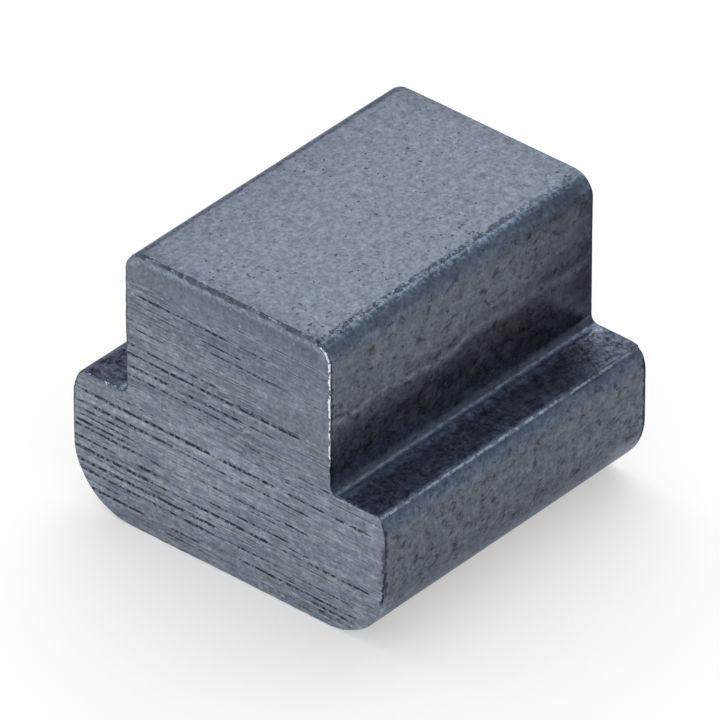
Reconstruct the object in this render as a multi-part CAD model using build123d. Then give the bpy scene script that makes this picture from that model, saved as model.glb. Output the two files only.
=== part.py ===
from build123d import *
import os

# T-slot nut blank: one length sawn from a solid cold-drawn T bar, with no threaded hole.
# Frame: millimetres, +Z up through the neck, +Y along the slot, +X across it.
# The origin is the centre of the flat underside.

# Driving dimensions
slot_width = 10.0  # nominal width of the slot that the neck runs in
neck_clearance = 0.35  # the neck is this much narrower than the slot
neck_height = 6.25  # from the shoulders to the top of the neck
base_width = 14.75  # across both flanges
base_height = 5.75  # from the underside to the shoulders
nut_length = 14.3  # sawn length, along the slot

# The bevel along the upper outer edge of each flange
bevel_width = 0.315  # across the shoulder
bevel_height = 0.56  # down the flange's side

# Radii that the drawing die leaves along the bar
neck_corner_radius = 0.9  # the two long edges of the neck's top
root_radius = 0.3  # the hollow where the neck meets each shoulder
crest_radius = 0.2  # where the shoulder meets the bevel
bevel_radius = 1.6  # where the bevel blends into the flange's side
base_corner_radius = 2.7  # the lower outer edge of each flange


def t_corners():
    """The T's sharp corners with the radius of each, anticlockwise from the lower right."""
    half_base = base_width / 2
    half_neck = (slot_width - neck_clearance) / 2
    right = [
        (half_base, 0, base_corner_radius),
        (half_base, base_height - bevel_height, bevel_radius),
        (half_base - bevel_width, base_height, crest_radius),
        (half_neck, base_height, root_radius),
        (half_neck, base_height + neck_height, neck_corner_radius),
    ]
    left = [(-x, z, radius) for x, z, radius in reversed(right)]
    return right + left


def t_section():
    """The bar's cross-section, a face in the XZ plane."""
    corners = t_corners()
    points = [Vector(x, 0, z) for x, z, radius in corners]
    radii = [radius for x, z, radius in corners]
    outline = FilletPolyline(*points, radius=radii, close=True)
    return make_face(outline)


def nut_blank():
    """The bar's section over the sawn length, half of it to each side of the origin."""
    return extrude(t_section(), amount=nut_length / 2, dir=(0, 1, 0), both=True)


os.makedirs("parts", exist_ok=True)
t_slot_nut = nut_blank()
export_step(t_slot_nut, "parts/t_slot_nut.step")
print("volume", round(t_slot_nut.volume, 2), "mm3, box", t_slot_nut.bounding_box().size)
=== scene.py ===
import itertools
import math
import bpy
import numpy as np
from mathutils import Matrix, Vector
from mathutils.geometry import delaunay_2d_cdt


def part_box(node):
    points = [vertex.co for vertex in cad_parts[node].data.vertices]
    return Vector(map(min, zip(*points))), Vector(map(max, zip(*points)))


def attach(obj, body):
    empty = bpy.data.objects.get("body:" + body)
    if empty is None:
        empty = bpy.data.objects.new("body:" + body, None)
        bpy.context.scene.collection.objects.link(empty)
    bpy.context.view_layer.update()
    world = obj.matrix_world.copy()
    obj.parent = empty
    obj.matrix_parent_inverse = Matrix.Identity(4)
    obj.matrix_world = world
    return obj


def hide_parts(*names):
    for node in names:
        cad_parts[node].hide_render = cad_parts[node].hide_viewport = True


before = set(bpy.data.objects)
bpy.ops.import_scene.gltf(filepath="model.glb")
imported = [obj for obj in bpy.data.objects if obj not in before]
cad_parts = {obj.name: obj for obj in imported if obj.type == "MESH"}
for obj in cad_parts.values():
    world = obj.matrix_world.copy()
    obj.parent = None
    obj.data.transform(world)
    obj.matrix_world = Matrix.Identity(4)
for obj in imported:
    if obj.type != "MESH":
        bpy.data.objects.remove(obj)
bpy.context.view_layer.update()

# Some light and shade is painted into the colours: on the neck's walls and top, the shoulders,
# the bevels, the lower corners and along the sawn edges.
# A solid steel T-slot nut blank, sawn from a cold-drawn T bar. The drawn skin is semi-matt,
# mottled and finely pitted, and rougher and darker on the shoulders. The two sawn ends carry
# broken saw marks across them, nicked edges and a thin bright burr.
# The frame is the part's: +X across the flanges, +Y along the slot, +Z up through the neck. The
# near end is the one at -Y. Lengths are in metres, unless a comment says mm. Each noise of the
# mesh is written as its cell in mm, its seed and its strength.

MM = 0.001
NODE = "t_slot_nut"
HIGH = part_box(NODE)[1]

# The T section. Its width, height and length are the CAD box's.
HALF_BASE = HIGH[0]
HALF_LENGTH = HIGH[1]
TOP = HIGH[2]
HALF_NECK = 9.65 / 2 * MM
SHOULDER = 5.75 * MM
BEVEL_WIDTH = 0.315 * MM
BEVEL_HEIGHT = 0.56 * MM
NECK_CORNER_RADIUS = 0.9 * MM
ROOT_RADIUS = 0.3 * MM
CREST_RADIUS = 0.2 * MM
BEVEL_RADIUS = 1.6 * MM
BASE_CORNER_RADIUS = 2.7 * MM

SHOULDER_Z = SHOULDER / MM  # mm
CREST_X = 7.09  # mm, the crest of each flange

# Mesh spacing
RING_STEP = 0.09 * MM  # along the outline's straights
ARC_STEP = 0.07 * MM  # round its corners, and no more than ARC_TURN
ARC_TURN = math.radians(12)
STATION_STEP = 0.25 * MM  # along the bar
END_STATIONS = (0, 0.02, 0.05, 0.09, 0.14, 0.2, 0.28, 0.4, 0.55)  # mm in from each sawn end
CAP_FILL_STEP = 0.3  # mm, between the saw marks
CAP_FILL_JITTER = 0.35  # share of that
CAP_RIM_ROWS = (0.05, 0.11, 0.2)  # mm in from the outline
CAP_CLEARANCE = 0.045  # mm, no other vertex nearer to the outline than this
MARK_STEP = 0.1  # mm, along a saw mark
MARK_ROWS = (-0.085, -0.035, 0.0, 0.035, 0.085)  # mm across it

# Relief of the drawn skin, all of it inwards
WAVE_DEPTH = 0.006 * MM  # slow unevenness
WAVES = ((2.3, 1, 1.0), (0.8, 2, 0.5))
WAVE_PEAK = 1.5  # the sum of their strengths
STREAK_DEPTH = 0.0016 * MM  # lengthwise die lines
STREAK_CELL = (0.22, 6.0, 0.22)  # mm
WORN_DEPTH = 0.06 * MM  # off the left flange's crest, all along
WORN_PLACE = (-CREST_X, SHOULDER_Z, 0.3)  # its x, z and reach in mm

# Sawn edges, for the near end (-1) and the far one (1). Drops are shares of EDGE_DROP.
EDGE_DROP = 0.06 * MM  # how far an edge is knocked back
EDGE_REACH = 0.10 * MM  # how far along the bar that reaches
PLAIN_DROP = {-1: 0.4, 1: 0.1}
TOP_DROP = {-1: 2.6, 1: 0.0}  # added along the neck's top edge
# Corners knocked back more, or left proud: x, z and reach in mm, the drop added, and how much
# further along the bar it reaches, as a share of EDGE_REACH
CORNERS = {
    -1: ((-HALF_BASE / MM, 5.47, 0.45, 1.6, 0.0), (CREST_X, SHOULDER_Z, 0.3, -1.12, 0.0)),
    1: ((CREST_X, SHOULDER_Z, 0.3, 1.6, 2.5), (-4.56, 11.74, 0.45, 2.0, 0.0)),
}
DROP_NOISES = ((0.9, 21, 0.3), (0.2, 22, 0.35))
DROP_LEVEL = 0.8  # what they are added to
DROP_LIMITS = (0.2, 3)
NICK_NOISE = (0.33, 23, 1.0)
NICK_EDGE = 0.3  # the noise level that a nick starts at
NICK_DROP = 1.4
REACH_NOISES = ((0.25, 24, 0.5), (0.12, 25, 0.4))
EDGE_POWER = 1.3  # how hollow the knocked skin is
CAP_PULL_POWER = 1.5  # and the sawn face beside it
CAP_PULL_REACH = 0.35  # mm, how far a knocked edge draws the sawn face with it

# The burr, on the side where the saw came out, and bright specks on the flanges' edges
BURR_HEIGHT = 0.035 * MM
BURR_LENGTH = 0.03 * MM  # along the bar
BURR_FADE = (0.054, 0.144)  # mm from the edge, where it fades on the sawn face
BURR_STARTS = (6.25, 7.05)  # mm up, where it starts and where it is whole
BURR_STRENGTHS = ((6.6, 8.2, 10.8), (0.45, 0.9, 1.0))  # at these heights in mm
BURR_FACING = 1.3  # how soon it is whole as the side turns outwards
BURR_NOISE = (0.4, 33, 0.6)
BURR_LEVEL = 0.84
BURR_LIMITS = (0.15, 1)
SPECK_NOISE = (0.16, 34, 3.0)
SPECK_EDGE = 1.7  # the noise level that a speck starts at
SPECK_PLACES = ((-6.0, SHOULDER_Z, 0.9), (6.4, SHOULDER_Z, 0.7))  # x, z and reach in mm
SPECK_STRENGTH = 0.8

# Saw marks
MARK_DEPTH = 0.030  # mm
MARK_HALF_WIDTHS = (0.03, 0.055)  # mm, of the shallowest and the deepest
MARK_FADE = 0.7  # mm, how gradually each end of a mark fades
MARK_SLOPE = -0.011  # how much they climb to the right
# What breaks them up: cells along and across the marks in mm, seed and strength
MARK_NOISES = (((0.23, 0.12), 61, 0.45), ((0.9, 0.15), 62, 0.35))
MARK_LEVEL = 0.9
MARK_LIMITS = (0.1, 1.2)
CAP_WAVE_DEPTH = 0.004  # mm, slow unevenness of the sawn face
CAP_WAVE_CELL = 1.7  # mm
MARKED_HEIGHTS = (0.25, 10.8)  # mm up, between which the saw left marks
SMOOTH_FROM = MARKED_HEIGHTS[1]
FAR_MARKS = (45, 6.0, 1.0)  # the far end's longest marks: count, length in mm, share of depth
SHORT_MARKS = (50, 1.8, 0.5)  # and the others, on both ends
FAINT_MARKS = (45, 4.0, 0.35)

# The longest saw marks of the near end: height at the middle, left end, right end (mm) and
# share of depth
NEAR_MARKS = (
    (10.55, -4.1, -3.2, 0.5),
    (10.1, -4.6, 0.2, 0.8),
    (10.1, 0.1, 2.2, 0.5),
    (10.1, 2, 4.6, 0.3),
    (9.88, -4.3, -2.5, 0.3),
    (9.71, -4.3, -2.3, 0.5),
    (9.57, -4, -1.9, 0.45),
    (9.57, -1.6, 1.1, 0.55),
    (9.55, 1.3, 2.7, 0.4),
    (9.23, -4.1, -2.3, 0.35),
    (9.23, -1.6, 3.1, 0.5),
    (8.98, -4.5, -2.9, 0.25),
    (8.61, -4.9, -2.5, 0.4),
    (8.68, -1.2, 1.8, 0.3),
    (8.43, -4.8, -2.2, 0.25),
    (8.18, -4.2, -1.2, 0.3),
    (7.85, -5.2, 0, 0.5),
    (7.45, -5.4, 3.7, 0.8),
    (7.43, 3.2, 4.9, 0.4),
    (7.23, -4.9, -3.4, 0.25),
    (6.93, -5.4, -2.3, 0.8),
    (6.91, -2.5, 2.6, 0.6),
    (6.53, -5.4, 0.9, 0.6),
    (6.28, 0.4, 3.4, 0.25),
    (5.98, -5.1, -3.4, 0.4),
    (5.98, 0.2, 2.5, 0.4),
    (5.32, -5.2, -3.9, 0.35),
    (5.3, 1, 3.7, 0.4),
    (4.84, -7.3, -0.4, 0.95),
    (4.83, -0.7, 2.5, 1),
    (4.82, 2.3, 7, 0.65),
    (4.32, -7.9, -2.4, 0.9),
    (4.3, -2.8, 0.5, 0.6),
    (4.31, 0.1, 4.1, 0.6),
    (4, -7.9, -4.3, 0.55),
    (3.75, -7.4, -4.3, 0.5),
    (3.48, -7.9, -4.1, 0.7),
    (3.24, -7.9, -3.8, 0.95),
    (3.23, -4.1, -1.4, 0.5),
    (3.47, -1.6, 4.1, 0.6),
    (3.25, 0.5, 3.2, 0.4),
    (3, -6.8, -4.9, 0.3),
    (2.75, -7.9, -5, 0.75),
    (2.74, -4.9, -2.6, 0.85),
    (2.74, -2.1, 3.2, 0.6),
    (2.55, -6.4, -3, 0.3),
    (2.3, -7.9, -3.3, 1),
    (2.29, -3.7, -1.9, 0.75),
    (2.28, -2.4, 2.4, 1),
    (2.28, 2, 7.2, 0.6),
    (2.05, -6, -2, 0.35),
    (1.77, -7.9, -0.4, 1),
    (1.77, -0.8, 1.6, 0.4),
    (1.41, -7.5, 0, 0.75),
    (1.44, -0.3, 2.8, 0.65),
    (1.41, 2.7, 6.3, 0.4),
    (1.25, -6.2, -3.9, 0.35),
    (1.03, -6.6, -4.7, 0.55),
    (0.72, -7, -3.6, 0.95),
    (0.73, -3.2, -0.8, 0.55),
    (0.92, 0.3, 6.3, 0.65),
    (1.09, 1.9, 5.4, 0.35),
    (0.67, 2.9, 6.3, 0.6),
    (0.5, 2.6, 5.9, 0.5),
    (0.42, -3.4, -0.4, 0.5),
    (0.27, 2.4, 5.6, 0.4),
)

# Camera
CAMERA_AZIMUTH = 40.76  # degrees round from the sawn end
CAMERA_ELEVATION = 34.52
CAMERA_ROLL = 0.09
CAMERA_DISTANCE = 541.7 * MM
CAMERA_RIGHT = 0.008 * MM  # how far the aim is off the part's centre
CAMERA_UP = -0.339 * MM
CAMERA_LENS = 757.6  # mm, on a 36 mm sensor

# Light and floor
SKY = (0.64, 0.68, 0.72)
KEY_STRENGTH = 1.40
KEY_ANGLE = 72
KEY_DIRECTION = (-0.45, 0.45, 0.77)
FLOOR_COLOUR = (0.62, 0.61, 0.60, 1)
FLOOR_GLOW = (0.43, 0.42, 0.40, 1)
FLOOR_SIZE = 6.0


# ---------------------------------------------------------------- noise and outline


def lattice_noise(points, seed):
    """Smooth noise from -1 to 1 at these points, whose unit is one cell of the noise."""
    cells = 64
    lattice = np.random.default_rng(seed).uniform(-1, 1, (cells,) * 3)
    cell = np.floor(points).astype(int)
    part = points - cell
    part = part * part * (3 - 2 * part)
    value = np.zeros(len(points))
    for corner in itertools.product((0, 1), repeat=3):
        at = (cell + corner) % cells
        weight = np.prod(np.where(corner, part, 1 - part), axis=1)
        value += weight * lattice[at[:, 0], at[:, 1], at[:, 2]]
    return value


def layered_noise(place, *noises):
    """The sum of these noises at places in metres."""
    return sum(
        strength * lattice_noise(place / (cell * MM), seed) for cell, seed, strength in noises
    )


def unit(vector):
    return vector / np.linalg.norm(vector)


def straight(start, end):
    """Points from start towards end with their outward normals, without the end itself."""
    count = max(1, round(float(np.linalg.norm(end - start)) / RING_STEP))
    along = unit(end - start)
    share = np.arange(count)[:, None] / count
    return start + (end - start) * share, np.tile([along[1], -along[0]], (count, 1))


def turn(corner, along, onward, radius):
    """An arc that rounds a corner, without its last point, and how far it reaches each way."""
    cross = along[0] * onward[1] - along[1] * onward[0]
    sweep = math.atan2(abs(cross), float(along @ onward))
    reach = radius * math.tan(sweep / 2)
    count = math.ceil(max(radius * sweep / ARC_STEP, sweep / ARC_TURN))
    angle = np.arange(count)[:, None] / count * sweep
    bulge = math.copysign(1, cross)
    outward = np.array([along[1], -along[0]])
    centre = corner - along * reach - bulge * radius * outward
    points = centre + radius * (bulge * np.cos(angle) * outward + np.sin(angle) * along)
    return points, np.cos(angle) * outward + bulge * np.sin(angle) * along, reach


def half_outline():
    """The T's right half, from the middle of the underside to the middle of the top."""
    corners = (
        (HALF_BASE, 0, BASE_CORNER_RADIUS),
        (HALF_BASE, SHOULDER - BEVEL_HEIGHT, BEVEL_RADIUS),
        (HALF_BASE - BEVEL_WIDTH, SHOULDER, CREST_RADIUS),
        (HALF_NECK, SHOULDER, ROOT_RADIUS),
        (HALF_NECK, TOP, NECK_CORNER_RADIUS),
    )
    stops = [np.array(c[:2]) for c in corners] + [np.array([0.0, TOP])]
    here = np.array([0.0, 0.0])
    points, normals = [], []
    for corner, after, (_, _, radius) in zip(stops, stops[1:], corners):
        along, onward = unit(corner - here), unit(after - corner)
        arc, arc_normals, reach = turn(corner, along, onward, radius)
        line, line_normals = straight(here, corner - along * reach)
        points += [line, arc]
        normals += [line_normals, arc_normals]
        here = corner + onward * reach
    line, line_normals = straight(here, stops[-1])
    points += [line, stops[-1][None]]
    normals += [line_normals, np.array([[0.0, 1.0]])]
    return np.concatenate(points), np.concatenate(normals)


def whole_outline():
    """The closed outline, anticlockwise from the middle of the underside."""
    points, normals = half_outline()
    mirror = np.array([-1.0, 1.0])
    return (
        np.concatenate([points, points[-2:0:-1] * mirror]),
        np.concatenate([normals, normals[-2:0:-1] * mirror]),
    )


OUTLINE, NORMALS = whole_outline()
RING = len(OUTLINE)
HALF_RING = RING // 2
ARC_LENGTH = np.concatenate(
    [[0], np.linalg.norm(np.roll(OUTLINE, -1, 0) - OUTLINE, axis=1).cumsum()]
)
ON_NECK = OUTLINE[:, 1] > SHOULDER + ROOT_RADIUS


# ---------------------------------------------------------------- sawn edges


def round_the_edge(end, *noises):
    """The sum of these noises round one sawn edge."""
    return layered_noise(np.column_stack([OUTLINE, np.full(RING, end * 9 * MM)]), *noises)


def close_to(x, z, reach):
    """1 on the outline at this place in mm, fading away from it by reach in mm."""
    away = np.hypot(OUTLINE[:, 0] / MM - x, OUTLINE[:, 1] / MM - z)
    return np.exp(-((away / reach) ** 2))


def edge_wear(end):
    """How far each outline point's sawn edge is knocked back, down and along the bar."""
    drop = PLAIN_DROP[end] + TOP_DROP[end] * np.clip(NORMALS[:, 1], 0, 1) ** 2 * ON_NECK
    reach = 1 + round_the_edge(end, *REACH_NOISES)
    for x, z, width, more, further in CORNERS[end]:
        corner = close_to(x, z, width)
        drop += more * corner
        reach += further * corner
    nicks = np.clip(round_the_edge(end, NICK_NOISE) - NICK_EDGE, 0, 1)
    ragged = DROP_LEVEL + round_the_edge(end, *DROP_NOISES) + NICK_DROP * nicks
    return EDGE_DROP * drop * np.clip(ragged, *DROP_LIMITS), EDGE_REACH * reach


def bare_edge(end):
    """How bare and bright each outline point's sawn edge is, from 0 to 1."""
    height = OUTLINE[:, 1] / MM
    exit_side = np.clip(-end * NORMALS[:, 0] * BURR_FACING, 0, 1) * ON_NECK
    exit_side *= np.interp(height, BURR_STARTS, (0, 1)) * np.interp(height, *BURR_STRENGTHS)
    broken = np.clip(BURR_LEVEL + round_the_edge(end, BURR_NOISE), *BURR_LIMITS)
    specks = np.clip(round_the_edge(end, SPECK_NOISE) - SPECK_EDGE, 0, 1)
    specks *= sum(close_to(*place) for place in SPECK_PLACES)
    return np.maximum(exit_side * broken, SPECK_STRENGTH * specks)


WEAR = {end: edge_wear(end) for end in (-1, 1)}
BARE = {end: bare_edge(end) for end in (-1, 1)}


# ---------------------------------------------------------------- drawn skin


def stations():
    """Where the rings of the skin lie along the bar, from one sawn end to the other."""
    near = np.array(END_STATIONS) * MM
    middle = HALF_LENGTH - near[-1]
    count = round(2 * middle / STATION_STEP)
    inner = np.linspace(-middle, middle, count + 1)[1:-1]
    return np.concatenate([near - HALF_LENGTH, inner, (HALF_LENGTH - near)[::-1]])


def skin_rows():
    """The skin's vertices, ring by ring, with their distance from the nearest sawn end and
    how bare they are."""
    rows, rims, bares = [], [], []
    worn = WORN_DEPTH * close_to(*WORN_PLACE)
    for y in stations():
        end = -1 if y < 0 else 1
        rim = HALF_LENGTH - abs(y)
        place = np.column_stack([OUTLINE[:, 0], np.full(RING, y), OUTLINE[:, 1]])
        wave = layered_noise(place, *WAVES) - WAVE_PEAK
        streak = lattice_noise(place / np.array(STREAK_CELL) / MM, 3) - 1
        drop, reach = WEAR[end]
        knocked = drop * np.clip(1 - rim / reach, 0, 1) ** EDGE_POWER
        bare = BARE[end] * max(0, 1 - rim / BURR_LENGTH)
        lip = BURR_HEIGHT * bare
        out = WAVE_DEPTH * wave + STREAK_DEPTH * streak - knocked - worn + lip
        place[:, 0] += NORMALS[:, 0] * out
        place[:, 2] += NORMALS[:, 1] * out
        place[:, 1] += end * lip
        rows.append(place)
        rims.append(np.full(RING, rim))
        bares.append(bare)
    return np.concatenate(rows), np.concatenate(rims), np.concatenate(bares)


def skin_faces(count):
    """The skin's quads with their corners on the texture map, both halves of the ring."""
    faces, corners = [], []
    for half, start in enumerate((0, HALF_RING)):
        us = ARC_LENGTH - ARC_LENGTH[start]
        vs = stations() + HALF_LENGTH + half * SKIN_STRIP
        for row in range(count - 1):
            for column in range(start, start + HALF_RING):
                here, after = row * RING + column, row * RING + (column + 1) % RING
                faces.append((here, after, after + RING, here + RING))
                left, right = us[column], us[column + 1]
                low, high = vs[row], vs[row + 1]
                corners += [(left, low), (right, low), (right, high), (left, high)]
    return faces, corners


# ---------------------------------------------------------------- sawn ends


def chance_marks(rng, count, length, depth):
    """Saw marks in random places, in the same terms as NEAR_MARKS."""
    reach = HALF_BASE / MM
    marks = []
    for _ in range(count):
        left = rng.uniform(-reach - length / 2, reach)
        right = left + length * rng.gamma(3, 1 / 3)
        height = rng.uniform(*MARKED_HEIGHTS)
        marks.append((height, left, right, depth * rng.uniform(0.4, 1)))
    return marks


def saw_marks(end):
    """All the saw marks of one end."""
    rng = np.random.default_rng(50 + end)
    longest = list(NEAR_MARKS) if end < 0 else chance_marks(rng, *FAR_MARKS)
    return longest + chance_marks(rng, *SHORT_MARKS) + chance_marks(rng, *FAINT_MARKS)


def mark_depth(x, z, marks, end):
    """Depth of the saw marks at these places, as a share of the deepest."""
    depth = np.zeros(len(x))
    apart = np.full(len(x), end * 7)  # each end has its own part of the noise
    level = MARK_LEVEL
    for cell, seed, strength in MARK_NOISES:
        place = np.column_stack([x / cell[0], z / cell[1], apart])
        level = level + strength * lattice_noise(place, seed)
    for height, left, right, share in marks:
        across = (z - height - MARK_SLOPE * x) / np.interp(share, (0, 1), MARK_HALF_WIDTHS)
        taper = np.clip(np.minimum(x - left, right - x) / MARK_FADE, 0, 1)
        depth = np.maximum(depth, share * np.exp(-across * across) * taper)
    return depth * np.clip(level, *MARK_LIMITS)


def cap_points(marks, rng):
    """Places inside a sawn end: rows near its outline, along the saw marks, and between."""
    outline = OUTLINE / MM
    groups = [outline - NORMALS * inset for inset in CAP_RIM_ROWS]
    for height, left, right, _ in marks:
        xs = np.arange(left - MARK_STEP, right + MARK_STEP, MARK_STEP)
        zs = height + MARK_SLOPE * xs
        groups += [np.column_stack([xs, zs + row]) for row in MARK_ROWS]
    reach, top = HALF_BASE / MM, TOP / MM
    grid = np.meshgrid(np.arange(-reach, reach, CAP_FILL_STEP), np.arange(0, top, CAP_FILL_STEP))
    fill = np.column_stack([axis.ravel() for axis in grid])
    jitter = rng.uniform(-CAP_FILL_JITTER, CAP_FILL_JITTER, fill.shape)
    groups.append(fill + jitter * CAP_FILL_STEP)
    points = np.concatenate(groups)
    half = outline[: HALF_RING + 1]
    width = np.interp(points[:, 1], half[:, 1] + np.arange(len(half)) * 1e-9, half[:, 0])
    apart = np.linalg.norm(points[:, None] - outline[None], axis=2).min(1)
    return points[(np.abs(points[:, 0]) < width) & (apart > CAP_CLEARANCE)]


def cap_mesh(end):
    """One sawn end: its inner vertices, their groove depth, distance from the edge and bare
    share, their flat places, and its triangles, where a ring vertex is below RING."""
    marks = saw_marks(end)
    inner = cap_points(marks, np.random.default_rng(70 + end))
    points = [Vector(p) for p in np.concatenate([OUTLINE / MM, inner]).tolist()]
    edges = [(i, (i + 1) % RING) for i in range(RING)]
    flat, _, triangles, sources, _, _ = delaunay_2d_cdt(points, edges, [], 1, 1e-4)
    index, kept = {}, []
    for vertex, origin in enumerate(sources):
        first = min(origin)
        if first < RING:
            index[vertex] = first
        else:
            index[vertex] = RING + len(kept)
            kept.append(flat[vertex][:])
    kept = np.array(kept)
    apart = np.linalg.norm(kept[:, None] - OUTLINE[None] / MM, axis=2)
    nearest = apart.argmin(1)
    rim = apart[np.arange(len(kept)), nearest]
    depth = mark_depth(kept[:, 0], kept[:, 1], marks, end)
    pull = WEAR[end][0][nearest] * np.clip(1 - rim / CAP_PULL_REACH, 0, 1) ** CAP_PULL_POWER
    place = kept * MM - NORMALS[nearest] * pull[:, None]
    wave = lattice_noise(np.column_stack([kept, np.full(len(kept), end * 3)]) / CAP_WAVE_CELL, 41)
    y = end * (HALF_LENGTH - (depth * MARK_DEPTH + CAP_WAVE_DEPTH * (1 + wave)) * MM)
    vertices = np.column_stack([place[:, 0], y, place[:, 1]])
    bare = BARE[end][nearest] * np.interp(rim, BURR_FADE, (1, 0))
    faces = [tuple(index[v] for v in face) for face in triangles]
    if end > 0:
        faces = [face[::-1] for face in faces]
    return vertices, depth, rim, bare, kept * MM, faces


# ---------------------------------------------------------------- the nut's mesh

# The texture map: two strips of skin, one above the other, and the sawn ends above them
MAP_GAP = 0.3 * MM
SKIN_STRIP = 2 * HALF_LENGTH + MAP_GAP
CAP_STRIP = 2 * HALF_BASE + MAP_GAP
MAP_SIZE = 2 * SKIN_STRIP + TOP + MAP_GAP


def build_nut():
    """The whole nut as one closed mesh, with its attributes and texture map."""
    vertices, rims, bares = skin_rows()
    ring_count = len(vertices) // RING
    faces, corners = skin_faces(ring_count)
    skin_count = len(faces)
    grooves = np.zeros(len(vertices))
    rims = rims / MM
    for end, ring in ((-1, 0), (1, ring_count - 1)):
        inner, depth, rim, bare, flat, made = cap_mesh(end)
        first_ring, first_inner = ring * RING, len(vertices) - RING
        flat = np.concatenate([OUTLINE, flat])
        flat[:, 0] += HALF_BASE + (CAP_STRIP if end > 0 else 0)
        flat[:, 1] += 2 * SKIN_STRIP
        vertices = np.concatenate([vertices, inner])
        grooves = np.concatenate([grooves, depth])
        rims = np.concatenate([rims, rim])
        bares = np.concatenate([bares, bare])
        for face in made:
            faces.append(tuple(v + (first_ring if v < RING else first_inner) for v in face))
            corners += [tuple(flat[v]) for v in face]
    mesh = bpy.data.meshes.new("nut")
    mesh.from_pydata(vertices.tolist(), [], faces)
    material_index = np.zeros(len(faces), np.int32)
    material_index[skin_count:] = 1
    mesh.polygons.foreach_set("material_index", material_index)
    mesh.polygons.foreach_set("use_smooth", np.ones(len(faces), bool))
    for name, values in (("groove", grooves), ("rim", rims), ("bare", bares)):
        layer = mesh.attributes.new(name, "FLOAT", "POINT")
        layer.data.foreach_set("value", values.astype(np.float32))
    uv = mesh.uv_layers.new(name="OFBake")
    uv.uv.foreach_set("vector", (np.array(corners, np.float32) / MAP_SIZE).ravel())
    sharpen_sawn_edges(mesh, ring_count)
    mesh.validate()
    return mesh


def sharpen_sawn_edges(mesh, ring_count):
    """Marks the edges between the skin and the two sawn ends as sharp."""
    pairs = np.empty(len(mesh.edges) * 2, np.int32)
    mesh.edges.foreach_get("vertices", pairs)
    pairs = pairs.reshape(-1, 2)
    sharp = np.zeros(len(pairs), bool)
    for first in (0, (ring_count - 1) * RING):
        on_ring = ((pairs >= first) & (pairs < first + RING)).all(1)
        gap = np.abs(pairs[:, 0] - pairs[:, 1])
        sharp |= on_ring & ((gap == 1) | (gap == RING - 1))
    layer = mesh.attributes.new("sharp_edge", "BOOLEAN", "EDGE")
    layer.data.foreach_set("value", sharp)


# ---------------------------------------------------------------- shader helpers


def node(tree, kind, inputs=(), **settings):
    """Adds a shader node. An input given as a socket is linked, and any other is set."""
    made = tree.nodes.new("ShaderNode" + kind)
    for name, value in settings.items():
        setattr(made, name, value)
    for name, value in dict(inputs).items():
        if isinstance(value, bpy.types.NodeSocket):
            tree.links.new(value, made.inputs[name])
        else:
            made.inputs[name].default_value = value
    return made


def math_node(tree, operation, *values, clamp=False):
    made = node(tree, "Math", enumerate(values), operation=operation, use_clamp=clamp)
    return made.outputs[0]


def times(tree, *values):
    """The product of several values."""
    product = values[0]
    for value in values[1:]:
        product = math_node(tree, "MULTIPLY", product, value)
    return product


def ramp(tree, value, low, high, to_low=0.0, to_high=1.0):
    """Value's place between low and high, clamped and smoothed, spread over two ends."""
    inputs = {
        "Value": value, "From Min": low, "From Max": high, "To Min": to_low, "To Max": to_high
    }
    return node(tree, "MapRange", inputs, interpolation_type="SMOOTHSTEP").outputs[0]


def spread(tree, value, amount):
    """A noise turned into a level round 1, up to `amount` above and below at 0.3 off centre."""
    inputs = {
        "Value": value, "From Min": 0.2, "From Max": 0.8,
        "To Min": 1 - amount, "To Max": 1 + amount,
    }
    return node(tree, "MapRange", inputs).outputs[0]


def mixed(tree, factor, a, b):
    """Colour a, blended with colour b by the factor."""
    return node(tree, "Mix", {0: factor, 6: a, 7: b}, data_type="RGBA").outputs[2]


def toned(tree, factor, colour, tint):
    """The colour, multiplied by the tint as far as the factor says."""
    inputs = {0: factor, 6: colour, 7: tint}
    return node(tree, "Mix", inputs, data_type="RGBA", blend_type="MULTIPLY").outputs[2]


def shaded(tree, colour, level):
    """The colour at this level."""
    return node(tree, "VectorMath", {0: colour, 3: level}, operation="SCALE").outputs[0]


def place_in_mm(tree, stretch=(1, 1, 1)):
    """The surface point in the part's frame, in mm, stretched along each axis."""
    here = node(tree, "TexCoord").outputs["Object"]
    scale = [s / MM for s in stretch]
    return node(tree, "VectorMath", {0: here, 1: scale}, operation="MULTIPLY").outputs[0]


def noise(tree, place, scale, detail=2.0, roughness=0.5, distortion=0.0):
    inputs = {
        "Vector": place, "Scale": scale, "Detail": detail, "Roughness": roughness,
        "Distortion": distortion,
    }
    return node(tree, "TexNoise", inputs).outputs[0]


def attribute(tree, name):
    return node(tree, "Attribute", attribute_name=name).outputs["Fac"]


def bump(tree, height, depth, normal=None):
    inputs = {"Height": height, "Distance": depth, "Strength": 1.0}
    if normal is not None:
        inputs["Normal"] = normal
    return node(tree, "Bump", inputs).outputs[0]


def new_metal(name):
    """A material with its tree and its shader, a metal with no other effect."""
    mat = bpy.data.materials.new(name)
    mat.use_nodes = True
    tree = mat.node_tree
    shader = tree.nodes["Principled BSDF"]
    shader.inputs["Metallic"].default_value = 1.0
    shader.inputs["Specular Tint"].default_value = GRAZING_TINT
    return mat, tree, shader


def finish_metal(tree, shader, colour, rough, normal):
    tree.links.new(colour, shader.inputs["Base Color"])
    tree.links.new(rough, shader.inputs["Roughness"])
    tree.links.new(normal, shader.inputs["Normal"])


# ---------------------------------------------------------------- paint tables

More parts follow.
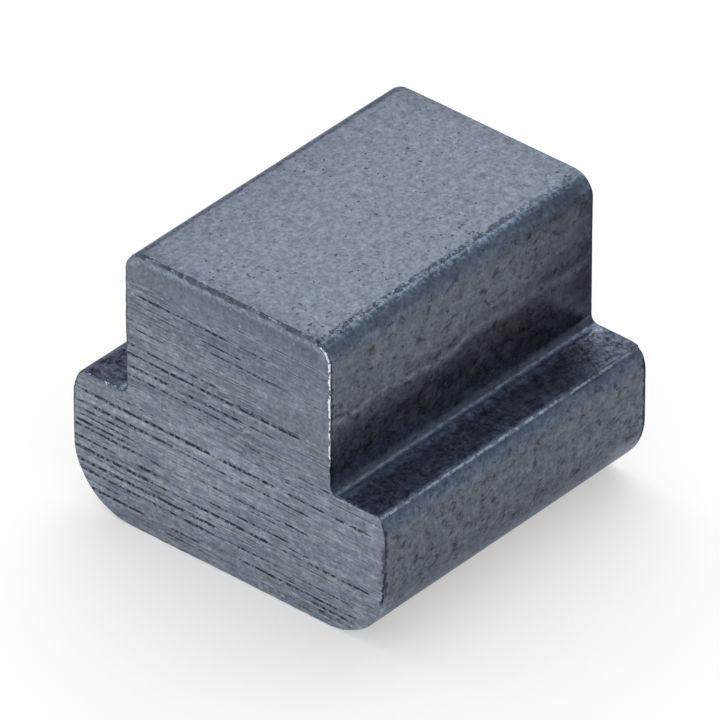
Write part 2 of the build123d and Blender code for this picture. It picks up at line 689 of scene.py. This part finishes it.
SKIN_BLUE = (0.128, 0.145, 0.178, 1)
SKIN_GREY = (0.124, 0.143, 0.168, 1)
SAWN_BLUE = (0.176, 0.209, 0.266, 1)
SAWN_GREEN = (0.183, 0.211, 0.244, 1)
# dark scale, also used as painted shade along the sawn edges and in a split
SCALE_AND_SHADE_DARK = (0.026, 0.031, 0.052, 1)
# chipped scale on the near top edge, darkened and blued as painted shade
CHIP_AND_SHADE_BLUE = (0.07, 0.085, 0.13, 1)
# rubbed steel, also painted as highlights along the lip, the root's foot and under the shoulder
RUBBED_AND_GLINT_BLUE = (0.42, 0.54, 0.72, 1)
# rubbed steel, also painted as highlights along the crests and under the top edge
RUBBED_AND_GLINT_STEEL = (0.52, 0.63, 0.76, 1)
# bare steel of the burr and flecks, also painted as highlights on the saw marks' lips
BARE_STEEL_AND_GLINT = (0.80, 0.85, 0.92, 1)
HEAT_VIOLET = (0.24, 0.20, 0.29, 1)
GRAZING_TINT = (0.58, 0.60, 0.64, 1)  # the oxide film dulls the metal seen edge on

# Both materials paint with fields, which are values over the surface. x, y and z are the place
# in mm, out is |x|, rim is the distance in mm from the sawn edge, and edge is the same made
# ragged. skin_fields and sawn_fields make the rest. A zone is the product of its bounds. A bound
# is a field by itself, or a field, where the zone starts, where it is full and, unless they are
# 0 and 1, its levels there.

EDGE_SPREAD = 1.1  # how ragged the field edge is
BURR_SPREAD = 1.4  # how broken the burr's colour is
BURR_SHOWN = (0.30, 0.55)  # how bare the steel is where the colour starts and is full

# Noises of the skin: stretch along each axis, scale per mm, detail, roughness, distortion
EVEN = (1, 1, 1)
SKIN_NOISES = {
    "patch": (EVEN, 0.5, 2, 0.5),
    "grain": (EVEN, 5.5, 3, 0.8),
    "mottle": ((1, 0.7, 1), 3.0, 2, 0.7),
    "blotch": ((1, 0.7, 1), 2.7, 3, 0.65, 0.4),
    "along": ((1, 0.07, 1), 5.0, 3, 0.6),
    "fine": (EVEN, 5.0, 2, 0.6),
    "grit": (EVEN, 6.5, 2, 0.6),
    "knots": ((1, 0.6, 1), 5.2, 3, 0.8),
    "speck": (EVEN, 6.3, 1, 0.5),
    "crust": (EVEN, 3.2, 3, 0.85),
    "sway": ((0, 0.3, 0), 1.0, 3, 0.6),
    "pit": (EVEN, 5.6, 1, 0.3),
    "cluster": (EVEN, 0.7, 2, 0.5),
    "beads": (EVEN, 6.0, 1, 0.5),
    "ragged": (EVEN, 4.5, 3, 0.7),
}
SKIN_SPREADS = {"grain": 0.5, "mottle": 0.40, "along": 0.06}  # how much each moves the level
FAR_DRIFT = 2.4  # mm, how far a patch moves the field far, which is y with uneven borders
WAVER_DRIFT = 1.6  # mm, and the field waver, which is z with a border that sways along the bar

# Lines along the skin, on both sides: x, z, width and wobble in mm
SKIN_LINES = {
    "seam": (4.19, 11.955, 0.16, 0.05),  # the lap line along each top edge of the neck
    "lip": (4.39, 11.86, 0.19, 0.05),  # the raised lip outside that, painted as a highlight
    # the flange crests, painted as rubbed steel with a highlight
    "crest": (CREST_X, 5.66, 0.085, 0.03),
    "foot": (5.08, 5.755, 0.17, 0.0),  # the foot of the root hollow, painted as a highlight
}

# Zones of the skin with names of their own, some made from those above them
SKIN_ZONES = {
    "neck": (("side",), ("z", 6.0, 6.1)),
    "low_neck": (("neck",), ("z", 6.4, 8.0)),
    "top": (("z", 11.9, 11.96),),
    "shoulder": (("out", 5.14, 5.28), ("z", 5.68, 5.73), ("z", 6.15, 5.85)),
    "hollow": (("out", 5.4, 5.15), ("z", 6.15, 5.9)),
    "seamed": (
        ("seam",), ("speck", 0.60, 0.42), ("x", -0.5, 0.5, 0.35, 1.0), ("y", 1.5, 6.0, 1.0, 0.5)
    ),
    "chipped": (("edge", 0.075, 0.0375), ("up", 0.5, 0.8), ("y", 6.0, 5.0)),
    # a dark line on the walls along the sawn edges: partly scorch from the saw, partly painted
    # shadow behind the burr
    "scorched_and_shadowed": (
        ("edge", 0.13, 0.065), ("side",), ("z", 1.8, 2.8), ("fine", 0.32, 0.46, 0.2125, 0.85)
    ),
    # painted shade along the far sawn edges of the walls
    "far_rim_shade": (("edge", 0.17, 0.085), ("side",), ("y", 5.0, 6.0)),
    "crusted": (("shoulder",), ("x", -4.5, -5.0, 1.0, 1.5), ("far", 5.8, 7.0, 1.0, 1.6)),
    "quiet": (("neck",), ("z", 8.8, 8.0)),
}

# Stains and painted light and shade of the skin: how much darker, then where
SKIN_STAINS_AND_SHADE = (
    (0.58, ("side",), ("blotch", 0.47, 0.31)),  # blotches of scale on the sides
    # painted light and shade on the walls: darker low on the base, lighter towards the near end
    # and over the neck, darker high on the neck short of its far end
    (0.05, ("side",), ("z", 5.0, 4.6)),
    (-0.08, ("side",), ("y", 0.0, -4.0)),
    (-0.07, ("neck",)),
    (0.11, ("neck",), ("z", 9.4, 9.9), ("z", 11.5, 11.2), ("y", 4.5, 3.5)),
    # painted shade and reflection on the neck's sides: the right one darker towards the far end,
    # both darker low down, a dark band, and a light crease above it as a painted highlight
    (0.46, ("neck",), ("x", 4.5, 4.8), ("far", 1.4, 8.0)),
    (0.20, ("low_neck",), ("z", 10.2, 9.0, 0.4, 1.0)),
    (0.24, ("low_neck",), ("waver", 8.6, 8.2), ("y", -6.0, 2.0, 0.4, 1.0)),
    (0.28, ("neck",), ("waver", 8.55, 8.25), ("z", 6.9, 7.5), ("y", -6.5, -3.0, 0.6, 1.0),
     ("y", 4.5, 3.2)),
    (0.22, ("neck",), ("waver", 8.7, 8.87), ("waver", 9.2, 9.03), ("y", -4.0, -2.0)),
    (-0.32, ("neck",), ("waver", 8.51, 8.58), ("waver", 8.69, 8.62), ("patch", 0.38, 0.55),
     ("y", 4.5, 3.0)),
    # painted shade at the far end of the neck's sides and corners
    (0.24, ("neck",), ("y", 5.8, 7.0)),
    (0.42, ("neck",), ("y", 5.2, 6.4), ("z", 8.4, 7.6)),
    (0.22, ("neck",), ("y", 3.8, 4.8), ("z", 8.5, 8.7), ("z", 9.6, 9.3)),
    (0.22, ("out", 4.15, 4.4), ("z", 10.9, 11.3), ("y", 2.0, 5.0), ("y", 6.8, 6.2)),
    # painted shade on the neck's top, by both sawn ends and towards the left
    (0.13, ("top",), ("y", -6.3, -6.9)),
    (0.10, ("top",), ("y", 6.0, 6.8)),
    (0.11, ("top",), ("x", -1.0, -4.2)),
    # the shoulders: painted shade in the hollows, a painted reflection beside them, painted shade
    # at the crests
    (0.42, ("out", 5.3, 5.2), ("z", 5.755, 5.775), ("z", 6.05, 5.93)),
    (-2.2, ("shoulder",), ("x", 4.0, 5.0), ("out", 5.75, 5.05)),
    (0.35, ("z", 5.76, 5.72), ("z", 5.5, 5.6), ("far", 4.0, 5.4), ("far", 7.4, 6.6)),
    (0.20, ("z", 5.85, 5.76), ("z", 5.5, 5.6), ("y", 0.0, 4.0)),
    # the base's lower corners: a painted reflection of the floor, lighter, most at the near end
    (-0.38, ("z", 2.25, 1.75), ("z", 0.05, 0.3)),
    (-0.80, ("y", -6.2, -7.1), ("z", 2.5, 1.7)),
)

# Casts of the skin: colour as shares of the skin's, then where
SKIN_CASTS = (
    # the shoulders' darker scale, painted lighter towards the far end where light passes the neck
    ((0.49, 0.53, 0.64, 1), ("shoulder",), ("far", 6.8, 5.4, 0.45, 1.0)),
    ((0.83, 0.88, 0.965, 1), ("out", 4.12, 4.3), ("z", 10.9, 11.4)),  # painted shade on the neck's top corners
    ((0.72, 0.78, 0.90, 1), ("out", 7.04, 7.14), ("z", 4.7, 5.2), ("z", 5.72, 5.66)),  # painted shade and reflection of the sky on the bevels
    ((0.90, 0.95, 1.03, 1), ("out", 5.3, 5.1), ("z", 6.2, 6.0)),  # painted shade, bluer, in the root hollows
    ((0.70, 0.645, 0.62, 1), ("x", -4.9, -5.0), ("z", 5.65, 5.72)),  # the left flange
)

# Layers over the skin, the lowest first: colour, strength, then where
SKIN_LAYERS = (
    (SCALE_AND_SHADE_DARK, 0.7, ("pits",)),
    (SCALE_AND_SHADE_DARK, 0.75, ("seamed",)),
    # a painted highlight along the lip
    (RUBBED_AND_GLINT_BLUE, 0.30, ("lip",), ("speck", 0.44, 0.66), ("y", 1.5, 6.0, 1.0, 0.7)),
    # the crests: rubbed steel and a painted highlight
    (RUBBED_AND_GLINT_STEEL, 1, ("crest",), ("speck", 0.40, 0.60, 0.2, 1.0), ("y", 2.0, 5.0, 0.58, 0.38)),
    # a painted highlight at the foot of the root hollow
    (RUBBED_AND_GLINT_BLUE, 0.38, ("foot",), ("knots", 0.38, 0.64, 0.15, 1.0)),
    # the near top edge: chipped scale, darkened and blued as painted shade, with light spots
    (CHIP_AND_SHADE_BLUE, 1, ("chipped",), ("grit", 0.54, 0.38, 0.05, 0.8)),
    (RUBBED_AND_GLINT_BLUE, 0.5, ("chipped",), ("grit", 0.50, 0.60)),
    # scorch and painted shade along the sawn edges
    (SCALE_AND_SHADE_DARK, 1, ("dark_rim",)),
    (BARE_STEEL_AND_GLINT, 1, ("burr",)),
)
SKIN_RELIEF = (  # depth in mm, then where
    (0.006, ("grain",)),
    (0.006, ("mottle",)),
    (0.02, ("shoulder",), ("crust",)),
    (0.05, ("chipped",), ("grit",)),
    (-0.02, ("dents",)),
)
PIT_EDGE = ("cluster", 0.40, 0.62, 0.80, 0.70)  # the noise level that a pit starts at
PIT_EDGE_DROP = ("y", -4.5, -6.5, 0.0, 0.03)  # and how much lower it is at the near end
PIT_FADE = 0.05
PITS_LOST = 0.6  # share of the pits' colour lost in the zone quiet
SIDE_FACING = (0.88, 0.97)  # |x| of the normal where the field side starts and is full
SIDE_GREY = 0.75  # where the skin is more grey than blue: on the sides, and in spots
SPOTS_GREY = ("mottle", 0.45, 0.7)
GREY_RANGE = (0.2, 1.0)
WOBBLE = {"Scale": 3.0, "Detail": 3.0}  # per mm
SKIN_ROUGHNESS = ("mottle", 0.3, 0.7, 0.25, 0.33)
CRUST_ROUGHNESS = 0.22  # added on the shoulders and in the root hollows

SAW_PITCH = 0.26  # mm between saw lines
FINE_PITCH = 0.1586  # and between the finer ones among them
FINE_STRENGTH = 0.2
LINE_WANDER = 1.6  # pitches
LINE_PEAK = (0.72, 0.97)  # the part of each wave that is the line
LINE_EDGE = ("patch", 0.35, 0.6, 0.50, 0.42)  # the noise level that a line starts at
LINE_FADE = (0.03, 0.09)
SAWN_NOISES = {
    "patch": (EVEN, 0.6, 2, 0.5),
    "grain": (EVEN, 6.5, 2, 0.8),
    "mottle": (EVEN, 3.0, 2, 0.6),
    "dashes": ((1.7, 1, 7.5), 1.0, 2, 0.6),
    "bands": ((0.45, 1, 4.6), 1.0, 2, 0.6),
    "flecks": (EVEN, 5.5, 1, 0.5),
    "wander": ((0.12, 1, 1.1), 1.0, 1, 0.5),
    "long_lines": ((0.45, 1, 3.4), 1.0, 1, 0.6),
    "short_lines": ((0.9, 1, 5.0), 1.0, 1, 0.6),
    "beads": (EVEN, 6.0, 1, 0.5),
    "ragged": (EVEN, 4.5, 3, 0.7),
}
SAWN_SPREADS = {"grain": 0.44, "patch": 0.08, "mottle": 0.10}
STREAK_SPREADS = {"dashes": 0.36, "bands": 0.26}
SAWN_ZONES = {
    "sawn": (("z", SMOOTH_FROM + 0.3, SMOOTH_FROM - 0.3),),
    "low": (("z", SHOULDER_Z + 0.8, SHOULDER_Z - 0.4),),
    "inward": (("x", 4.5, 0.0, 0.4, 1.0),),
    "banded": (("bands", 0.40, 0.60), ("z", 10.8, 7.5, 0.3, 1.0)),
    "leftward": (("x", 0.0, -5.0, 0.0, 0.4),),
}
# painted light and shade on the sawn face: lighter low down and on the left, darker towards the
# top
SAWN_PAINTED_LIGHT_AND_SHADE = (
    ("z", 6.3, 5.0, 0.95, 1.22), ("z", 8.5, 10.0, 1.0, 0.93), ("z", 10.9, 11.5, 1.0, 0.86),
    ("x", -4.0, 0.0, 1.09, 1.04),
)
# darker towards the lower left
SAWN_LOW_LEFT_DARKENING = ((0.16, ("z", 6.0, 5.0), ("x", -1.0, -4.0)),)
BROKEN = ("beads", 0.40, 0.54, 0.22, 1.0)
SAWN_LAYERS = (
    (SCALE_AND_SHADE_DARK, 0.42, ("lines",), BROKEN),
    (BARE_STEEL_AND_GLINT, 0.18, ("groove", 0.01, 0.04), ("groove", 0.14, 0.08),
     ("beads", 0.48, 0.60, 0.3, 1.0)),  # painted highlights on the saw marks' lips
    (SCALE_AND_SHADE_DARK, 0.95, ("groove", 0.08, 0.44), BROKEN),
    (BARE_STEEL_AND_GLINT, 0.45, ("flecks", 0.76, 0.82)),
    # painted shade along the sides of the sawn face, strongest on the left
    (SCALE_AND_SHADE_DARK, 1, ("edge", 0.07, 0.035), ("z", 1.6, 2.8), ("z", 11.4, 11.1),
     ("x", 0.0, -3.0, 0.35, 0.75)),
    (SCALE_AND_SHADE_DARK, 0.95, ("edge", 0.2, 0.1), ("x", 6.5, 6.8), ("z", 4.7, 4.3), ("z", 1.8, 2.2),
     ("beads", 0.34, 0.46, 0.4, 1.0)),  # painted shadow in a split down the right edge
    (RUBBED_AND_GLINT_BLUE, 0.42, ("edge", 0.13, 0.065), ("x", 4.5, 4.9), ("x", 7.15, 7.0),
     ("z", 5.3, 5.5), ("z", 6.5, 6.0), ("beads", 0.42, 0.60, 0.25, 1.0)),  # painted highlights under the shoulder
    (RUBBED_AND_GLINT_STEEL, 0.26, ("rim", 0.48, 0.30), ("rim", 0.04, 0.2, 0.2, 1.0), ("z", 11.2, 11.4),
     ("beads", 0.40, 0.60, 0.3, 1.0)),  # a painted highlight under the top edge
    (HEAT_VIOLET, 0.38, ("edge", 0.6, 0.3), ("x", 6.2, 6.7), ("z", 3.0, 4.0),
     ("mottle", 0.35, 0.62, 0.25, 1.0)),
    (BARE_STEEL_AND_GLINT, 1, ("burr",)),
)
SAWN_RELIEF = ((0.005, ("grain",)), (0.012, ("cut",), ("dashes",)))
SAWN_ROUGHNESS = ("grain", 0.3, 0.7, 0.32, 0.40)


# ---------------------------------------------------------------- painting


def zone(tree, fields, *bounds):
    """The product of these bounds."""
    parts = [
        ramp(tree, fields[name], *limits) if limits else fields[name] for name, *limits in bounds
    ]
    return times(tree, *parts)


def less(tree, mask, amount):
    """The level 1 away from the mask, lowered by this amount inside it."""
    return math_node(tree, "SUBTRACT", 1.0, times(tree, mask, amount))


def within(tree, mask, level):
    """This level inside the mask, and 1 away from it."""
    return math_node(tree, "ADD", times(tree, mask, math_node(tree, "SUBTRACT", level, 1.0)), 1.0)


def spreads(tree, fields, amounts):
    """The level that several noises give together."""
    return times(tree, *[spread(tree, fields[name], amounts[name]) for name in amounts])


def stained_and_shaded(tree, fields, darkenings):
    """The level that a table of stains and painted light and shade gives."""
    return times(tree, *[less(tree, zone(tree, fields, *where), by) for by, *where in darkenings])


def layered(tree, fields, colour, layers):
    """The colour under a table of layers."""
    for paint, strength, *where in layers:
        shown = times(tree, zone(tree, fields, *where), strength)
        colour = mixed(tree, shown, colour, paint)
    return colour


def relief(tree, fields, layers):
    """The bumped normal that a table of relief gives."""
    normal = None
    for depth, *where in layers:
        normal = bump(tree, zone(tree, fields, *where), depth * MM, normal)
    return normal


def common_fields(tree, noises):
    """The fields that both materials have: the place, the sawn edge, the burr and the noises."""
    place = place_in_mm(tree)
    x, y, z = node(tree, "SeparateXYZ", {0: place}).outputs
    fields = {"place": place, "x": x, "y": y, "z": z, "rim": attribute(tree, "rim")}
    for name, (stretch, *settings) in noises.items():
        fields[name] = noise(tree, place_in_mm(tree, stretch), *settings)
    ragged = spread(tree, fields["ragged"], EDGE_SPREAD)
    fields["edge"] = math_node(tree, "DIVIDE", fields["rim"], ragged)
    beaded = times(tree, attribute(tree, "bare"), spread(tree, fields["beads"], BURR_SPREAD))
    fields["burr"] = ramp(tree, beaded, *BURR_SHOWN)
    return fields


# ---------------------------------------------------------------- materials


def pits(tree, fields):
    """1 inside small irregular pits, which cluster and are commoner near the near sawn end."""
    drop = zone(tree, fields, PIT_EDGE_DROP)
    edge = math_node(tree, "SUBTRACT", zone(tree, fields, PIT_EDGE), drop)
    return ramp(tree, math_node(tree, "SUBTRACT", fields["pit"], edge), 0.0, PIT_FADE)


def wobbly(tree, place, amount):
    """The place, shifted to and fro by up to this many mm."""
    drift = node(tree, "TexNoise", {"Vector": place, **WOBBLE}).outputs[1]
    centred = {0: drift, 1: (0.5, 0.5, 0.5)}
    drift = node(tree, "VectorMath", centred, operation="SUBTRACT").outputs[0]
    moved = {0: drift, 1: (4 * amount,) * 3, 2: place}
    return node(tree, "VectorMath", moved, operation="MULTIPLY_ADD").outputs[0]


def line_along(tree, place, x, z, width):
    """1 along a line that runs with the bar at this x and z, on both sides, fading by width."""
    folded = node(tree, "VectorMath", {0: place}, operation="ABSOLUTE").outputs[0]
    flat = node(tree, "VectorMath", {0: folded, 1: (1, 0, 1)}, operation="MULTIPLY").outputs[0]
    away = node(tree, "VectorMath", {0: flat, 1: (x, 0, z)}, operation="DISTANCE").outputs[1]
    return ramp(tree, away, width, width * 0.3)


def skin_fields(tree):
    """The drawn skin's fields. side is 1 on the walls, and up is the normal's rise."""
    fields = common_fields(tree, SKIN_NOISES)
    facing = node(tree, "SeparateXYZ", {0: node(tree, "TexCoord").outputs["Normal"]}).outputs
    fields["up"] = facing[2]
    fields["side"] = ramp(tree, math_node(tree, "ABSOLUTE", facing[0]), *SIDE_FACING)
    fields["out"] = math_node(tree, "ABSOLUTE", fields["x"])
    fields["far"] = math_node(tree, "ADD", fields["y"], times(tree, fields["patch"], FAR_DRIFT))
    sway = times(tree, math_node(tree, "SUBTRACT", fields["sway"], 0.5), WAVER_DRIFT)
    fields["waver"] = math_node(tree, "ADD", fields["z"], sway)
    for name, (x, z, width, wobble) in SKIN_LINES.items():
        fields[name] = line_along(tree, wobbly(tree, fields["place"], wobble), x, z, width)
    for name, bounds in SKIN_ZONES.items():
        fields[name] = zone(tree, fields, *bounds)
    pitted = pits(tree, fields)
    fields["pits"] = times(tree, pitted, less(tree, fields["quiet"], PITS_LOST))
    fields["dents"] = math_node(tree, "ADD", pitted, fields["seamed"])
    fields["dark_rim"] = math_node(tree, "MAXIMUM", fields["scorched_and_shadowed"], fields["far_rim_shade"])
    return fields


def drawn_skin():
    """Cold-drawn skin: blue-grey, mottled, pitted, rough and dark on the shoulders, with painted
    light and shade on its walls, shoulders and edges.
    """
    mat, tree, shader = new_metal("drawn_skin")
    fields = skin_fields(tree)
    grey = times(tree, fields["side"], SIDE_GREY)
    grey = math_node(tree, "ADD", grey, zone(tree, fields, SPOTS_GREY))
    colour = mixed(tree, ramp(tree, grey, *GREY_RANGE), SKIN_BLUE, SKIN_GREY)
    level = times(
        tree, spreads(tree, fields, SKIN_SPREADS), stained_and_shaded(tree, fields, SKIN_STAINS_AND_SHADE),
        within(tree, fields["crusted"], spread(tree, fields["crust"], 1.0)),
    )
    colour = shaded(tree, colour, level)
    for tint, *where in SKIN_CASTS:
        colour = toned(tree, zone(tree, fields, *where), colour, tint)
    colour = layered(tree, fields, colour, SKIN_LAYERS)
    crusty = math_node(tree, "MAXIMUM", fields["shoulder"], fields["hollow"])
    rough = zone(tree, fields, SKIN_ROUGHNESS)
    rough = math_node(tree, "ADD", rough, times(tree, crusty, CRUST_ROUGHNESS))
    finish_metal(tree, shader, colour, rough, relief(tree, fields, SKIN_RELIEF))
    return mat


def saw_lines(tree, fields, pitch, shown):
    """1 on thin level lines at this pitch in mm, each showing only where that noise is high."""
    turns = math_node(tree, "DIVIDE", fields["z"], pitch)
    turns = math_node(tree, "ADD", turns, times(tree, fields["wander"], LINE_WANDER))
    wave = math_node(tree, "SINE", times(tree, turns, math.tau))
    depth = math_node(tree, "SUBTRACT", fields[shown], zone(tree, fields, LINE_EDGE))
    return times(tree, ramp(tree, wave, *LINE_PEAK), ramp(tree, depth, *LINE_FADE))


def sawn_fields(tree):
    """The sawn ends' fields. cut is 1 where the saw left its lines, and groove is the depth of
    the saw marks."""
    fields = common_fields(tree, SAWN_NOISES)
    fields["groove"] = attribute(tree, "groove")
    for name, bounds in SAWN_ZONES.items():
        fields[name] = zone(tree, fields, *bounds)
    plain = math_node(tree, "MAXIMUM", fields["inward"], fields["low"])
    fields["cut"] = times(tree, fields["sawn"], plain)
    fine = times(tree, saw_lines(tree, fields, FINE_PITCH, "short_lines"), FINE_STRENGTH)
    coarse = saw_lines(tree, fields, SAW_PITCH, "long_lines")
    fields["lines"] = times(tree, fields["cut"], math_node(tree, "MAXIMUM", coarse, fine))
    return fields


def sawn_end():
    """A sawn face: fine broken lines across it, dark in their hollows, with painted light and
    shade on its edges and lower part.
    """
    mat, tree, shader = new_metal("sawn_end")
    fields = sawn_fields(tree)
    green = math_node(tree, "ADD", fields["banded"], fields["leftward"], clamp=True)
    level = times(
        tree, spreads(tree, fields, SAWN_SPREADS), stained_and_shaded(tree, fields, SAWN_LOW_LEFT_DARKENING),
        zone(tree, fields, *SAWN_PAINTED_LIGHT_AND_SHADE),
        within(tree, fields["cut"], spreads(tree, fields, STREAK_SPREADS)),
    )
    colour = shaded(tree, mixed(tree, green, SAWN_BLUE, SAWN_GREEN), level)
    colour = layered(tree, fields, colour, SAWN_LAYERS)
    rough = zone(tree, fields, SAWN_ROUGHNESS)
    finish_metal(tree, shader, colour, rough, relief(tree, fields, SAWN_RELIEF))
    return mat


# ---------------------------------------------------------------- floor, light and camera


def floor_material():
    """Pale matt floor that shows nearly white, with the nut's shadow on it."""
    mat = bpy.data.materials.new("floor")
    mat.use_nodes = True
    tree = mat.node_tree
    tree.nodes.clear()
    matt = node(tree, "BsdfDiffuse", {"Color": FLOOR_COLOUR}).outputs[0]
    path = node(tree, "LightPath")
    seen = path.outputs["Is Camera Ray"]
    for ray in ("Is Glossy Ray", "Is Transmission Ray"):
        seen = math_node(tree, "MAXIMUM", seen, path.outputs[ray])
    glow = node(tree, "Emission", {"Color": FLOOR_GLOW, "Strength": seen}).outputs[0]
    both = node(tree, "AddShader", {0: matt, 1: glow}).outputs[0]
    node(tree, "OutputMaterial", {"Surface": both})
    return mat


def make_floor():
    mesh = bpy.data.meshes.new("floor")
    half = FLOOR_SIZE / 2
    drop = -0.01 * MM
    mesh.from_pydata(
        [(-half, -half, drop), (half, -half, drop), (half, half, drop), (-half, half, drop)],
        [],
        [(0, 1, 2, 3)],
    )
    floor = bpy.data.objects.new("floor", mesh)
    floor.data.materials.append(floor_material())
    bpy.context.scene.collection.objects.link(floor)


def make_light():
    """A wide soft lamp from the back left, over an even dim surround."""
    scene = bpy.context.scene
    lamp = bpy.data.lights.new("key", "SUN")
    lamp.energy = KEY_STRENGTH
    lamp.angle = math.radians(KEY_ANGLE)
    key = bpy.data.objects.new("key", lamp)
    key.rotation_mode = "QUATERNION"
    key.rotation_quaternion = Vector(KEY_DIRECTION).to_track_quat("Z", "Y")
    scene.collection.objects.link(key)
    world = bpy.data.worlds.new("surround")
    world.use_nodes = True
    world.node_tree.nodes["Background"].inputs["Color"].default_value = (*SKY, 1)
    scene.world = world


def make_camera():
    """The camera looks down at the sawn end and the right side, from half a metre away."""
    azimuth, elevation = math.radians(CAMERA_AZIMUTH), math.radians(CAMERA_ELEVATION)
    back = Vector(
        (
            math.sin(azimuth) * math.cos(elevation),
            -math.cos(azimuth) * math.cos(elevation),
            math.sin(elevation),
        )
    )
    turned = back.to_track_quat("Z", "Y") @ Matrix.Rotation(
        math.radians(CAMERA_ROLL), 3, "Z"
    ).to_quaternion()
    data = bpy.data.cameras.new("camera")
    data.lens = CAMERA_LENS
    data.clip_start = 10 * MM
    data.clip_end = 10
    camera = bpy.data.objects.new("camera", data)
    camera.rotation_mode = "QUATERNION"
    camera.rotation_quaternion = turned
    offset = Vector((CAMERA_RIGHT, CAMERA_UP, CAMERA_DISTANCE))
    camera.location = Vector((0, 0, TOP / 2)) + turned @ offset
    bpy.context.scene.collection.objects.link(camera)
    bpy.context.scene.camera = camera


# ---------------------------------------------------------------- scene


nut = bpy.data.objects.new("nut", build_nut())
nut.data.materials.append(drawn_skin())
nut.data.materials.append(sawn_end())
bpy.context.scene.collection.objects.link(nut)
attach(nut, "root")
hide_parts(NODE)

make_floor()
make_light()
make_camera()
bpy.context.scene.view_settings.view_transform = "Standard"
